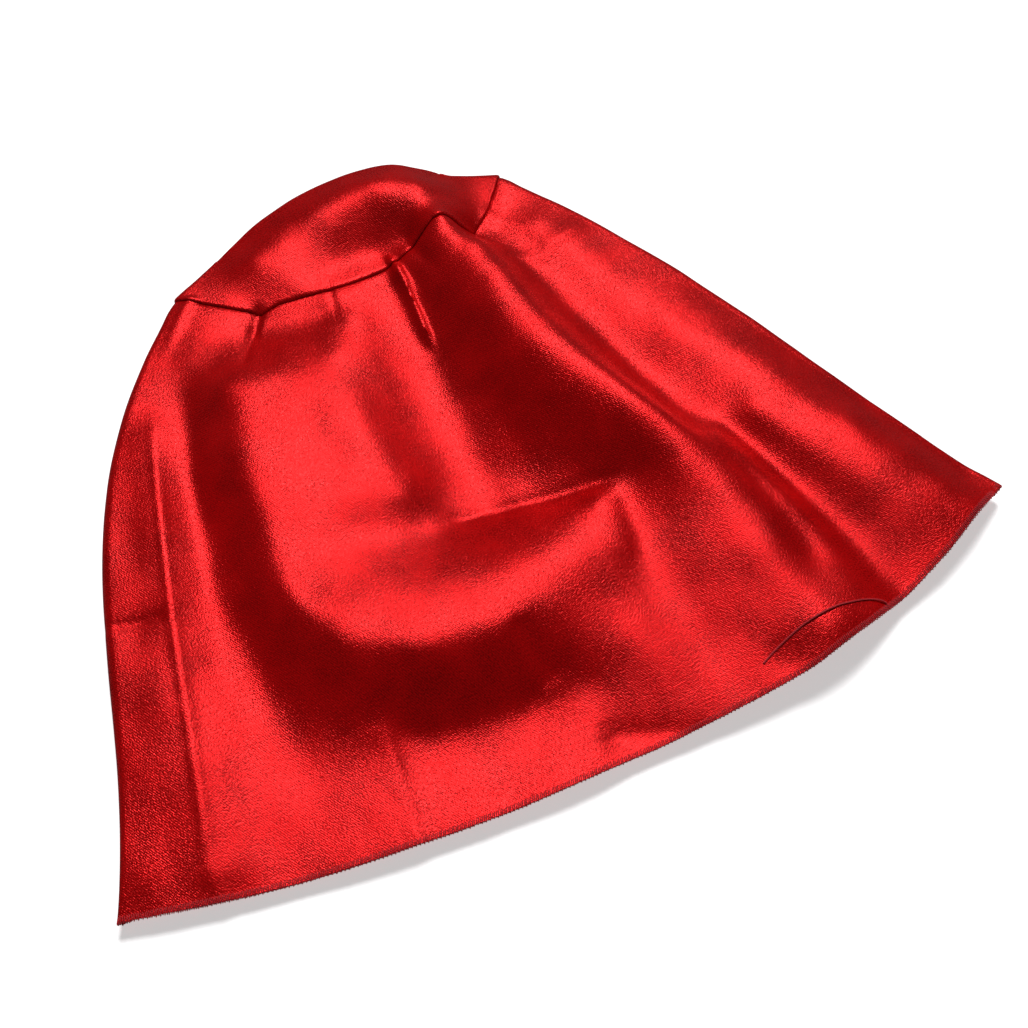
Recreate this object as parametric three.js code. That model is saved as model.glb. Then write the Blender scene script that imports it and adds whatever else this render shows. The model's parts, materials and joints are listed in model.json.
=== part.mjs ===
// A small superhero cape in satin, laid flat with its fronts folded under its back.
// +X is across the cape, +Y runs from hem to neck, +Z is up from the table. Millimetres.
import * as THREE from 'three';

// Outline of the folded cape, seen from above
const NECK_HALF = 28.5; // centre line to the fold, along the neck edge
const NECK_CORNER_Y = 69;
const NECK_BACK_Y = 76;
const NECK_FRONT_Y = 70;
const SEAM_HALF = 40.5; // centre line to the fold, along the yoke seam
const SEAM_CORNER_Y = 63;
const SEAM_BACK_Y = 49;
const SEAM_FRONT_Y = 46;
const HEM_HALF = 97; // centre line to the fold, along the hem
const HEM_CORNER_Y = -58.8;
const HEM_CENTRE_Y = -74.7;
const LEFT_BOW = 11; // how far each side fold bulges past a straight line
const RIGHT_BOW = 4;
const BOW_PEAK = 6.75; // brings the peak of t (1 - t)^2 to 1

// Cloth
const CLOTH = 0.4;
const LAYER_GAP = 0.3;
const SEAM_ALLOWANCE = 6; // skirt cloth caught between the yoke's two layers
const YOKE_LENGTH = NECK_BACK_Y - SEAM_BACK_Y;
const SKIRT_LENGTH = SEAM_BACK_Y - HEM_CENTRE_Y;

// Heights of the folded cape above the table
const FRONT_Z = 0.5; // middle of the front skirts' cloth
const STRIP_Z = 3.0; // middle of the cloth turned under along each side fold
const CURL_R = 2.65; // radius of the side folds
const SEAM_CROWN = 1.3; // height of the back along its centre line, above its side folds
const HEM_CROWN = -2.2; // the back sinks towards the middle of its hem

// Line that each front folds about, inside the side fold
const HINGE_NECK = { x: 25, y: 72 };
const HINGE_HEM = { x: 93, y: -60 };
const HINGE_GAP = 0.4; // cloth to hinge line, on both sides of it

// Stitching, closure and centre front
const EDGE_WIDTH = 1.0; // overlocked edge
const EDGE_THICK = 1.0;
const FRONT_GAP = 1.2; // centre line to each front's overlocked edge
const SEAM_THREAD = 0.8;
const NECK_THREAD_INSET = 1.2;
const PATCH = 10;
const PATCH_THICK = 0.8;
const PATCH_CORNER = 1.2;
const PATCH_INSET = 2.0; // yoke end to patch
const STITCH_INSET = 0.8;
const STITCH_WIDTH = 0.5;
const STITCH_THICK = 0.3;

// Flutes of the back skirt: station and height at the seam and at the hem, half width
const FLUTES = [
  { seam: -0.88, hem: -0.8, rise: 3.0, hemRise: 2.0, spread: 0.06 },
  { seam: -0.4, hem: -0.52, rise: 1.6, hemRise: 0.8, spread: 0.16 },
  { seam: 0.06, hem: -0.08, rise: 2.4, hemRise: 0.6, spread: 0.09 },
  { seam: 0.46, hem: 0.5, rise: 6.6, hemRise: 3.0, spread: 0.08 },
  { seam: 0.8, hem: 0.88, rise: 2.8, hemRise: 1.4, spread: 0.1 },
];
const FLUTE_START = 0.22; // share of the skirt over which the flutes rise from the seam

// Mesh steps
const TOP_STEPS = 34;
const CURL_STEPS = 6;
const STRIP_STEPS = 2;
const SKIRT_ROWS = 15;
const YOKE_ROWS = 4;
const FRONT_STEPS = 9;

// Loose thread at the hem, lying on the cape
const THREAD_D = 0.4;
const THREAD_POINTS = [
  [60.0, -71.1, 6.9], [59.2, -70.4, 8.1], [57.6, -69.6, 8.7], [55.4, -69.0, 8.9],
  [52.8, -68.6, 9.4], [49.9, -68.3, 10.3], [47.0, -68.3, 10.8], [44.0, -68.4, 10.4],
  [41.3, -68.6, 9.5], [38.7, -69.1, 8.6], [36.2, -69.7, 7.9], [33.8, -70.4, 7.5],
  [31.4, -71.3, 7.3],
];

const SATIN = { color: 0xc2060c, roughness: 0.34, metalness: 0.0 };
const REVERSE = { color: 0xa80a10, roughness: 0.55, metalness: 0.0 };
const THREAD = { color: 0xa3070c, roughness: 0.6, metalness: 0.0 };
const TAPE = { color: 0xb01016, roughness: 0.9, metalness: 0.0 };

const group = new THREE.Group();
group.name = 'cape';

function addMesh(name, geometry, look) {
  geometry.computeVertexNormals();
  const mesh = new THREE.Mesh(geometry, new THREE.MeshStandardMaterial(look));
  mesh.name = name;
  group.add(mesh);
  return mesh;
}

const lerp = THREE.MathUtils.lerp;
const smoothstep = THREE.MathUtils.smoothstep;

// Across a panel, s runs from -1 at the left fold to 1 at the right fold. Down a panel,
// v runs from -1 at the neck edge to 0 at the yoke seam and 1 at the hem.
function arc(half, cornerY, centreY, s) {
  return { x: half * s, y: lerp(centreY, cornerY, s * s) };
}

function bow(s, v) {
  const size = s < 0 ? LEFT_BOW : RIGHT_BOW;
  const along = THREE.MathUtils.clamp(v, 0, 1);
  return s * size * BOW_PEAK * along * (1 - along) ** 2;
}

function planPoint(s, v, isBack) {
  const seam = arc(SEAM_HALF, SEAM_CORNER_Y, isBack ? SEAM_BACK_Y : SEAM_FRONT_Y, s);
  if (v < 0) {
    const neck = arc(NECK_HALF, NECK_CORNER_Y, isBack ? NECK_BACK_Y : NECK_FRONT_Y, s);
    return { x: lerp(seam.x, neck.x, -v), y: lerp(seam.y, neck.y, -v) };
  }
  const hem = arc(HEM_HALF, HEM_CORNER_Y, HEM_CENTRE_Y, s);
  return { x: lerp(seam.x, hem.x, v) + bow(s, v), y: lerp(seam.y, hem.y, v) };
}

function hingeX(y) {
  const share = (HINGE_NECK.y - y) / (HINGE_NECK.y - HINGE_HEM.y);
  return lerp(HINGE_NECK.x, HINGE_HEM.x, share);
}

// Station where a row comes within a gap of the hinge line, found by halving
function hingeStation(side, v, isBack, gap) {
  let low = 0;
  let high = 1;
  for (let step = 0; step < 40; step += 1) {
    const middle = (low + high) / 2;
    const point = planPoint(side * middle, v, isBack);
    if (Math.abs(point.x) < hingeX(point.y) + gap) {
      low = middle;
    } else {
      high = middle;
    }
  }
  return side * high;
}

function halfWidth(side, v) {
  return Math.abs(planPoint(side, v, true).x);
}

// Height of the back's cloth between its side folds; reach is s as a share of the flat top
function backHeight(reach, v) {
  const down = Math.max(v, 0);
  let height = STRIP_Z + 2 * CURL_R;
  height += lerp(SEAM_CROWN, HEM_CROWN, down) * (1 - reach * reach);
  for (const flute of FLUTES) {
    const offset = (reach - lerp(flute.seam, flute.hem, down)) / flute.spread;
    const rise = lerp(flute.rise, flute.hemRise, down) * smoothstep(down, 0, FLUTE_START);
    height += rise * Math.exp(-offset * offset);
  }
  return height;
}

// The side fold of one row: from its turned-under strip, round the curl, to the flat top
function sideFold(side, v) {
  const perMillimetre = 1 / halfWidth(side, v);
  const curlStart = 1 - CURL_R * perMillimetre;
  const start = Math.min(Math.abs(hingeStation(side, v, true, HINGE_GAP)), curlStart - perMillimetre / 2);
  const stations = [];
  for (let i = 0; i < STRIP_STEPS; i += 1) {
    stations.push({ s: side * lerp(start, curlStart, i / STRIP_STEPS), z: STRIP_Z });
  }
  for (let i = 0; i < CURL_STEPS; i += 1) {
    const angle = Math.PI * (i / CURL_STEPS - 0.5);
    const s = 1 - CURL_R * (1 - Math.cos(angle)) * perMillimetre;
    stations.push({ s: side * s, z: STRIP_Z + CURL_R * (1 + Math.sin(angle)) });
  }
  return stations;
}

function backRow(v) {
  const left = 1 - CURL_R / halfWidth(-1, v);
  const right = 1 - CURL_R / halfWidth(1, v);
  const top = [];
  for (let i = 0; i <= TOP_STEPS; i += 1) {
    const s = lerp(-left, right, i / TOP_STEPS);
    top.push({ s, z: backHeight(s / (s < 0 ? left : right), v) });
  }
  const stations = [...sideFold(-1, v), ...top, ...sideFold(1, v).reverse()];
  return stations.map(({ s, z }) => {
    const point = planPoint(s, v, true);
    return new THREE.Vector3(point.x, point.y, z);
  });
}

// The left front's yoke lies on its closure patch, so it is higher than the right one
function frontHeight(side, v) {
  const layers = CLOTH * 1.5 + LAYER_GAP;
  const yoke = layers + (side < 0 ? PATCH_THICK + LAYER_GAP : 0);
  return lerp(yoke, FRONT_Z, smoothstep(v, 0, FLUTE_START));
}

function frontRow(side, v, edge) {
  const hinge = hingeStation(side, v, false, -HINGE_GAP);
  const centre = (side * edge) / Math.abs(planPoint(side, v, false).x);
  const row = [];
  for (let i = 0; i <= FRONT_STEPS; i += 1) {
    const s = lerp(side < 0 ? hinge : centre, side < 0 ? centre : hinge, i / FRONT_STEPS);
    const point = planPoint(s, v, false);
    row.push(new THREE.Vector3(point.x, point.y, frontHeight(side, v)));
  }
  return row;
}

function rowsBetween(first, last, count, makeRow) {
  const rows = [];
  for (let i = 0; i <= count; i += 1) {
    rows.push(makeRow(lerp(first, last, i / count)));
  }
  return rows;
}

function surfaceNormal(rows, j, i) {
  const down = new THREE.Vector3();
  const across = new THREE.Vector3();
  down.subVectors(rows[Math.min(j + 1, rows.length - 1)][i], rows[Math.max(j - 1, 0)][i]);
  across.subVectors(rows[j][Math.min(i + 1, rows[j].length - 1)], rows[j][Math.max(i - 1, 0)]);
  return down.cross(across).normalize();
}

// Closed sheet between two offsets from the surface through rows of points
function sheet(rows, lowOffset, highOffset) {
  const height = rows.length;
  const width = rows[0].length;
  const positions = [];
  for (const offset of [lowOffset, highOffset]) {
    for (let j = 0; j < height; j += 1) {
      for (let i = 0; i < width; i += 1) {
        const point = rows[j][i].clone().addScaledVector(surfaceNormal(rows, j, i), offset);
        positions.push(point.x, point.y, point.z);
      }
    }
  }
  const index = [];
  const quad = (a, b, c, d) => index.push(a, b, c, a, c, d);
  const low = (j, i) => j * width + i;
  const high = (j, i) => height * width + j * width + i;
  for (let j = 0; j + 1 < height; j += 1) {
    for (let i = 0; i + 1 < width; i += 1) {
      quad(high(j, i), high(j + 1, i), high(j + 1, i + 1), high(j, i + 1));
      quad(low(j, i), low(j, i + 1), low(j + 1, i + 1), low(j + 1, i));
    }
    quad(low(j, 0), low(j + 1, 0), high(j + 1, 0), high(j, 0));
    quad(low(j + 1, width - 1), low(j, width - 1), high(j, width - 1), high(j + 1, width - 1));
  }
  for (let i = 0; i + 1 < width; i += 1) {
    quad(low(0, i + 1), low(0, i), high(0, i), high(0, i + 1));
    quad(low(height - 1, i), low(height - 1, i + 1), high(height - 1, i + 1), high(height - 1, i));
  }
  const geometry = new THREE.BufferGeometry();
  geometry.setAttribute('position', new THREE.Float32BufferAttribute(positions, 3));
  geometry.setIndex(index);
  return geometry;
}

const HALF_CLOTH = CLOTH / 2;
const LAYER_OUT = HALF_CLOTH + LAYER_GAP;
const ALLOWANCE_V = -SEAM_ALLOWANCE / YOKE_LENGTH;
const hemV = (distance) => 1 + distance / SKIRT_LENGTH;
const yokeV = (distance) => ALLOWANCE_V - distance / YOKE_LENGTH;
const neckV = (distance) => -1 + distance / YOKE_LENGTH;
const EDGE_START_V = (2 * LAYER_GAP) / SKIRT_LENGTH;
const HEM_BAND = [hemV(LAYER_GAP), hemV(LAYER_GAP + EDGE_WIDTH)];
const SEAM_BAND = [yokeV(LAYER_GAP + SEAM_THREAD), yokeV(LAYER_GAP)];
const NECK_BAND = [neckV(NECK_THREAD_INSET), neckV(NECK_THREAD_INSET + SEAM_THREAD)];

// Rows of a skirt: a few inside the yoke, one at the seam, the rest down to the hem
function skirtRows(makeRow) {
  return [makeRow(ALLOWANCE_V), makeRow(ALLOWANCE_V / 2), ...rowsBetween(0, 1, SKIRT_ROWS, makeRow)];
}

function addBack() {
  addMesh('skirt_back', sheet(skirtRows(backRow), -HALF_CLOTH, HALF_CLOTH), SATIN);
  const yoke = rowsBetween(-1, 0, YOKE_ROWS, backRow);
  addMesh('yoke_back_outer', sheet(yoke, LAYER_OUT, LAYER_OUT + CLOTH), SATIN);
  addMesh('yoke_back_facing', sheet(yoke, -LAYER_OUT - CLOTH, -LAYER_OUT), SATIN);
  const hem = HEM_BAND.map(backRow);
  addMesh('hem_overlock_back', sheet(hem, -EDGE_THICK / 2, EDGE_THICK / 2), THREAD);
  addMesh('yoke_seam_thread_back', sheet(SEAM_BAND.map(backRow), -HALF_CLOTH, HALF_CLOTH), THREAD);
  addMesh('neck_seam_thread_back', sheet(NECK_BAND.map(backRow), -HALF_CLOTH, HALF_CLOTH), THREAD);
}

// Overlocked centre-front edge of a skirt, as a band one cell wide
function frontEdgeRow(side, v) {
  const cells = [FRONT_GAP, FRONT_GAP + EDGE_WIDTH].map((edge) => {
    const s = (side * edge) / Math.abs(planPoint(side, v, false).x);
    const point = planPoint(s, v, false);
    return new THREE.Vector3(point.x, point.y, frontHeight(side, v));
  });
  return side < 0 ? cells.reverse() : cells;
}

function addFront(side, word) {
  const clothEdge = FRONT_GAP + EDGE_WIDTH + LAYER_GAP;
  const row = (v) => frontRow(side, v, clothEdge);
  addMesh(`skirt_${word}_front`, sheet(skirtRows(row), -HALF_CLOTH, HALF_CLOTH), SATIN);
  const yoke = rowsBetween(-1, 0, YOKE_ROWS, (v) => frontRow(side, v, FRONT_GAP));
  addMesh(`yoke_${word}_outer`, sheet(yoke, -LAYER_OUT - CLOTH, -LAYER_OUT), SATIN);
  addMesh(`yoke_${word}_facing`, sheet(yoke, LAYER_OUT, LAYER_OUT + CLOTH), SATIN);
  const hem = sheet(HEM_BAND.map(row), -EDGE_THICK / 2, EDGE_THICK / 2);
  addMesh(`hem_overlock_${word}`, hem, THREAD);
  const edge = rowsBetween(EDGE_START_V, 1, SKIRT_ROWS, (v) => frontEdgeRow(side, v));
  addMesh(`front_edge_overlock_${word}`, sheet(edge, -EDGE_THICK / 2, EDGE_THICK / 2), THREAD);
  const seamThread = sheet(SEAM_BAND.map(row), -HALF_CLOTH, HALF_CLOTH);
  addMesh(`yoke_seam_thread_${word}`, seamThread, THREAD);
  const neckThread = sheet(NECK_BAND.map(row), -HALF_CLOTH, HALF_CLOTH);
  addMesh(`neck_seam_thread_${word}`, neckThread, THREAD);
}

function roundedSquare(target, size, corner) {
  const reach = size / 2 - corner;
  const turns = [[1, 1], [-1, 1], [-1, -1], [1, -1]];
  turns.forEach(([x, y], quarter) => {
    const start = (quarter * Math.PI) / 2;
    target.absarc(x * reach, y * reach, corner, start, start + Math.PI / 2, false);
  });
  target.closePath();
  return target;
}

function extrudeUp(shape, depth) {
  return new THREE.ExtrudeGeometry(shape, { depth, bevelEnabled: false, curveSegments: 4 });
}

// A square of closure tape on one yoke end, with its ring of stitches on the cape's inside
function addPatch(side, name) {
  const x = side * (FRONT_GAP + PATCH_INSET + PATCH / 2);
  const y = (NECK_FRONT_Y + SEAM_FRONT_Y) / 2;
  const yokeTop = frontHeight(side, -1) + LAYER_OUT + CLOTH;
  const patchZ = side < 0 ? 0 : yokeTop + LAYER_GAP;
  const stitchZ = Math.max(yokeTop, patchZ + PATCH_THICK) + LAYER_GAP;
  const square = roundedSquare(new THREE.Shape(), PATCH, PATCH_CORNER);
  const patch = addMesh(name, extrudeUp(square, PATCH_THICK), TAPE);
  patch.position.set(x, y, patchZ);
  const outer = PATCH - 2 * STITCH_INSET;
  const ring = roundedSquare(new THREE.Shape(), outer, PATCH_CORNER);
  ring.holes.push(roundedSquare(new THREE.Path(), outer - 2 * STITCH_WIDTH, PATCH_CORNER / 2));
  const stitches = addMesh(`${name}_stitching`, extrudeUp(ring, STITCH_THICK), THREAD);
  stitches.position.set(x, y, stitchZ);
}

function addLooseThread() {
  const route = new THREE.CatmullRomCurve3(THREAD_POINTS.map((p) => new THREE.Vector3(...p)));
  const section = new THREE.Shape();
  for (let i = 0; i < 8; i += 1) {
    const angle = (i / 8) * 2 * Math.PI;
    section[i === 0 ? 'moveTo' : 'lineTo'](THREAD_D / 2 * Math.cos(angle), THREAD_D / 2 * Math.sin(angle));
  }
  section.closePath();
  const steps = Math.round(route.getLength() / (2.5 * THREAD_D));
  const tube = new THREE.ExtrudeGeometry(section, { steps, extrudePath: route, bevelEnabled: false });
  addMesh('loose_thread', tube, THREAD);
}

addBack();
addFront(-1, 'left');
addFront(1, 'right');
addPatch(-1, 'hook_patch');
addPatch(1, 'loop_patch');
addLooseThread();

export default group;
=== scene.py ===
"""A small red satin superhero cape, laid flat with its fronts folded under its back.

Panels are set out in stations: s runs from -1 at the left side fold to 1 at the right one, and v runs
from -1 at the neck edge to 0 at the yoke seam and 1 at the hem. Shapes are worked out in millimetres,
and become metres when a piece is made.
"""

import json
import math

import bpy
import numpy as np
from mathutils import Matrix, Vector, noise


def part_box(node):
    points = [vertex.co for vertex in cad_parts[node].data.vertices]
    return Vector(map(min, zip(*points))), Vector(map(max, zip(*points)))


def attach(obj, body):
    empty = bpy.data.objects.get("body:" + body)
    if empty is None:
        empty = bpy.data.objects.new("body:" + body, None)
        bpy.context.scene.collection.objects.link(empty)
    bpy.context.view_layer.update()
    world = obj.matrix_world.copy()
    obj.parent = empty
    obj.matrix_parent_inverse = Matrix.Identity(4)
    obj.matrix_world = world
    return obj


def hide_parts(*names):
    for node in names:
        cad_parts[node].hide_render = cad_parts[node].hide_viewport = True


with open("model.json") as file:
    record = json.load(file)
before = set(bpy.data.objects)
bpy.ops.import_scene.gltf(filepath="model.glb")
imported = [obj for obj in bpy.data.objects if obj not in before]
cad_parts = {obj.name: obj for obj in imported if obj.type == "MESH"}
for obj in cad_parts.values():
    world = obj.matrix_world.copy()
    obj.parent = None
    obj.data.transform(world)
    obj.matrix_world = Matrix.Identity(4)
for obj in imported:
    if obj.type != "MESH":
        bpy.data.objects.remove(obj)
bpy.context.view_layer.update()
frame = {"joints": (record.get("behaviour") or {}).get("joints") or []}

bl_info = {
    "name": "Superhero cape",
    "version": (1, 0, 0),
    "blender": (4, 5, 0),
    "location": "3D View > Sidebar > Cape",
    "description": "Makes a small satin superhero cape laid flat, with its camera and stage",
    "category": "Object",
}

MM = 0.001


def corners(node):
    """Lowest and highest corner of a frame node, in millimetres."""
    low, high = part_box(node)
    return low / MM, high / MM


# Outline of the folded cape, read from the frame where a node's box shows it
CLOTH_HALF = 0.2
LAYER_STAND = 0.4  # how far the yoke's outer layer stands outside the fold line
SKIRT_LOW, SKIRT_HIGH = corners("skirt_back")
YOKE_LOW, YOKE_HIGH = corners("yoke_back_outer")
FRONT_YOKE_LOW, FRONT_YOKE_HIGH = corners("yoke_left_outer")
HEM_BAND_HIGH = corners("hem_overlock_back")[1]
NECK_THREAD_HIGH = corners("neck_seam_thread_back")[1]
PATCH_LOW, PATCH_HIGH = corners("hook_patch")
NECK_HALF = NECK_THREAD_HIGH.x - 1.0
NECK_CORNER = 69.0
NECK_BACK = YOKE_HIGH.y
NECK_FRONT = FRONT_YOKE_HIGH.y
SEAM_HALF = YOKE_HIGH.x - LAYER_STAND
SEAM_CORNER = 63.0
SEAM_BACK = YOKE_LOW.y
SEAM_FRONT = FRONT_YOKE_LOW.y
HEM_HALF = SKIRT_HIGH.x - CLOTH_HALF
HEM_CORNER = HEM_BAND_HIGH.y
HEM_CENTRE = SKIRT_LOW.y
YOKE_LENGTH = NECK_BACK - SEAM_BACK
SKIRT_LENGTH = SEAM_BACK - HEM_CENTRE
LEFT_BOW = 11.0
RIGHT_BOW = 4.0
BOW_PEAK = 6.75
ALLOWANCE = 6.0 / YOKE_LENGTH
FRONT_GAP = -FRONT_YOKE_HIGH.x
SEAM_SPREAD = 14.0  # distance from the seam over which its dips fade away

# Fold line of the fronts, from the frame's joint
HINGE = next(j for j in frame["joints"] if j["name"] == "right_front_open")
HINGE_POINT = np.array(HINGE["pos_m"]) / MM
HINGE_AXIS = np.array(HINGE["axis"])
HINGE_Z = HINGE_POINT[2]

# How far the back's hem reaches past its plan line, across the hem
HEM_REACH = [(-1, 1.6), (-0.85, 1.2), (-0.6, 0.6), (-0.4, 0.1), (0, 0.2), (0.18, 1.2), (0.32, 2.4),
             (0.42, 3.2), (0.55, 2.9), (0.68, 2.2), (0.8, 1.2), (0.9, -0.4), (1, -1.4)]

# How far the hem of the fronts stays back from the back's
FRONT_SHORT = [(-1, -1.2), (-0.85, -0.8), (-0.6, -0.8), (-0.4, -1.0), (-0.25, -1.6), (0, -2.4),
               (1, -2.4)]

# How far the yoke seam dips below its plan line, across the yoke
SEAM_REACH = [(-1, 0), (-0.9, 0.3), (-0.76, 1.8), (-0.6, 3.4), (-0.5, 1.6), (-0.37, 1), (0.3, 0.8),
              (0.45, 0.8), (0.55, 2.5), (0.65, 6.5), (0.8, 4.6), (0.93, 1.6), (1, 0)]

# The drape of the back, as lines of (s, v, height above the table) on its folds and hollows
DRAPE = [
    # yoke: its neck edge, a high band below it and a lower one above the seam
    [(-1, -1, 4), (-0.64, -0.97, 6), (-0.29, -0.97, 7.6), (0, -0.97, 8.6), (0.3, -0.97, 9.6),
     (0.6, -0.97, 10), (0.85, -0.97, 7), (1, -0.97, 4.5)],
    [(-0.6, -0.5, 8), (-0.3, -0.55, 9.2), (-0.1, -0.66, 11), (0.34, -0.66, 13.4), (0.56, -0.5, 13.4),
     (0.66, -0.2, 10.5)],
    [(-0.36, -0.1, 7.1), (-0.2, -0.2, 6.9), (-0.07, -0.22, 6.7), (0.18, -0.18, 7.2),
     (0.33, -0.08, 9.6)],
    # yoke seam
    [(-0.95, 0, 5), (-0.76, 0, 5.5), (-0.59, 0, 5), (-0.37, 0, 6.5), (-0.21, 0, 7), (-0.04, 0, 6.8),
     (0.15, 0, 7), (0.31, 0, 10), (0.43, 0, 14), (0.52, 0, 14), (0.58, 0, 10.5), (0.66, 0, 7),
     (0.82, 0, 5.8), (0.97, 0, 5.5)],
    # great ridge: both sides of its flat crest, then the foot of its steep right side
    [(0.46, 0.05, 14.4), (0.39, 0.13, 15.2), (0.36, 0.22, 15.6), (0.35, 0.33, 16), (0.39, 0.42, 16.2),
     (0.44, 0.53, 15.8), (0.48, 0.61, 14.8), (0.5, 0.68, 13.6), (0.5, 0.76, 12.6), (0.5, 0.83, 11.7),
     (0.48, 0.9, 10.8), (0.46, 0.96, 10)],
    [(0.53, 0.09, 14.2), (0.49, 0.17, 15.2), (0.46, 0.27, 15.6), (0.46, 0.36, 15.9), (0.49, 0.46, 15.9),
     (0.52, 0.56, 15.3), (0.55, 0.63, 13.6), (0.56, 0.68, 12.6), (0.56, 0.75, 11.8), (0.55, 0.82, 10.9),
     (0.53, 0.9, 10.2)],
    [(0.66, 0.08, 7.4), (0.63, 0.15, 7.6), (0.6, 0.25, 7.6), (0.59, 0.35, 7.4), (0.59, 0.45, 7),
     (0.59, 0.54, 7.8), (0.59, 0.61, 10)],
    # groove beside its lower part, then a flat band and the rise beyond it
    [(0.59, 0.68, 11.2), (0.595, 0.74, 10.3), (0.59, 0.8, 9.6), (0.58, 0.87, 9)],
    [(0.62, 0.63, 10), (0.63, 0.7, 9.8), (0.63, 0.78, 9.3), (0.625, 0.88, 8.2), (0.615, 0.95, 7.6)],
    [(0.66, 0.6, 7.4), (0.665, 0.7, 7.2), (0.67, 0.8, 6.6), (0.675, 0.9, 5.8), (0.675, 1, 4.8)],
    [(0.74, 0.64, 9.8), (0.77, 0.76, 10), (0.8, 0.87, 9.6), (0.83, 1, 8)],
    # long hollow beside the ridge, with a flat floor
    [(0.06, 0.03, 6.4), (0.01, 0.15, 5.2), (-0.03, 0.3, 4.4), (-0.04, 0.42, 4), (-0.02, 0.51, 3.7)],
    [(0.15, 0.08, 6.6), (0.12, 0.17, 5.6), (0.08, 0.3, 4.7), (0.06, 0.4, 4.3), (0.06, 0.5, 4)],
    [(-0.13, 0.08, 7.6), (-0.13, 0.17, 7.8), (-0.14, 0.3, 7.3), (-0.13, 0.42, 6.6)],
    # pressed crease across the skirt
    [(-0.5, 0.53, 9.8), (-0.4, 0.51, 9.1), (-0.25, 0.51, 7.6), (-0.12, 0.52, 4.9), (0.02, 0.53, 3.9),
     (0.19, 0.56, 5.5), (0.29, 0.58, 7.8), (0.38, 0.6, 10.5)],
    # raised flat panel above the crease
    [(-0.66, 0.18, 9.8), (-0.63, 0.3, 10.6), (-0.6, 0.4, 10.6), (-0.57, 0.49, 10.2)],
    [(-0.5, 0.17, 10), (-0.44, 0.22, 10.4), (-0.38, 0.33, 10.6), (-0.35, 0.43, 10.2)],
    [(-0.25, 0.15, 9.4), (-0.25, 0.25, 10.2), (-0.23, 0.36, 10.2), (-0.21, 0.46, 8.8)],
    [(-0.58, 0.05, 5.2), (-0.39, 0.055, 5.9), (-0.27, 0.05, 6.2)],
    # hollow left of that panel, running down to the hem
    [(-0.85, 0.12, 6), (-0.79, 0.21, 5.6), (-0.77, 0.33, 5.4), (-0.755, 0.44, 5.4), (-0.75, 0.56, 5.4),
     (-0.74, 0.68, 5), (-0.73, 0.82, 4.4), (-0.72, 0.93, 4)],
    [(-0.69, 0.6, 5.6), (-0.655, 0.7, 4.8), (-0.61, 0.8, 4.1), (-0.55, 0.87, 3.9)],
    # narrow ridge along the left side
    [(-0.88, 0.23, 6.8), (-0.86, 0.33, 7.6), (-0.84, 0.42, 8.1), (-0.84, 0.55, 8), (-0.84, 0.68, 7.4),
     (-0.84, 0.82, 6.6), (-0.83, 0.91, 5.8), (-0.82, 1, 4.7)],
    # rounded rim below the crease: its back edge above a steep slope, then its front edge
    [(-0.5, 0.58, 10.8), (-0.42, 0.64, 12.1), (-0.3, 0.675, 12.5), (-0.12, 0.68, 12),
     (0.04, 0.67, 11.1), (0.16, 0.65, 9.6), (0.25, 0.61, 8.9)],
    [(-0.57, 0.56, 10.6), (-0.545, 0.62, 11.4), (-0.47, 0.69, 12.3), (-0.32, 0.745, 12.4),
     (-0.14, 0.755, 11.9), (0.03, 0.75, 10.2), (0.15, 0.74, 9.4), (0.24, 0.7, 9), (0.29, 0.62, 8.9)],
    # foot of the great ridge below the crease
    [(0.3, 0.64, 8.4), (0.27, 0.73, 7.6), (0.25, 0.83, 6.8), (0.25, 0.91, 6.2)],
    [(0.1, 0.84, 7.6), (0.2, 0.9, 6.4)],
    # low ground below the rim
    [(-0.4, 0.84, 4.3), (-0.24, 0.86, 4.1), (-0.11, 0.86, 4.4), (0.0, 0.87, 5.6)],
    # under the loose thread
    [(0.61, 1.02, 6.5), (0.59, 1, 7.9), (0.57, 0.99, 8.4), (0.55, 0.99, 8.9), (0.52, 0.98, 9.8),
     (0.49, 0.98, 10.2), (0.46, 0.98, 9.8), (0.43, 0.97, 8.9), (0.4, 0.98, 8), (0.38, 0.98, 7.4),
     (0.35, 0.98, 6.9), (0.33, 0.99, 6.7)],
    # hem
    [(-1, 1, 3.9), (-0.88, 1, 4.2), (-0.72, 1, 3.6), (-0.6, 1, 3.8), (-0.43, 1, 4), (-0.28, 1, 4.1),
     (-0.15, 1, 4.5), (0.02, 1, 4.2), (0.13, 1, 5), (0.21, 1, 5.2), (0.28, 1, 6)],
    # crown of the right side
    [(0.84, 0.1, 7.4), (0.8, 0.2, 7.8), (0.77, 0.34, 8.2), (0.81, 0.47, 9), (0.85, 0.58, 9.9),
     (0.88, 0.76, 10.2), (0.9, 0.93, 9), (0.905, 1, 8)],
    # along both side folds
    [(-0.97, 0.05, 5), (-0.97, 0.12, 5.6), (-0.97, 0.2, 6.3), (-0.98, 0.42, 6.7), (-0.98, 0.54, 6.9),
     (-0.98, 0.67, 6.6), (-0.98, 0.79, 6.1), (-0.98, 0.92, 5.1)],
    [(0.97, 0.1, 6), (0.97, 0.3, 6.2), (0.97, 0.5, 6.4), (0.98, 0.7, 6), (0.98, 0.85, 5.2),
     (0.98, 0.95, 4.6)],
    # between the left ridge and the left fold
    [(-0.93, 0.27, 6.8), (-0.92, 0.43, 7.3), (-0.91, 0.52, 7.6), (-0.92, 0.6, 6.8), (-0.91, 0.7, 7),
     (-0.91, 0.83, 6.4), (-0.9, 0.93, 5.3)],
]
DRAPE_SPACING = 3.5  # between the points that a drape line is divided into
DRAPE_SOFTNESS = 1.8
DRAPE_SLACK = 0.12

CREASE_SPACING = 0.8

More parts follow.
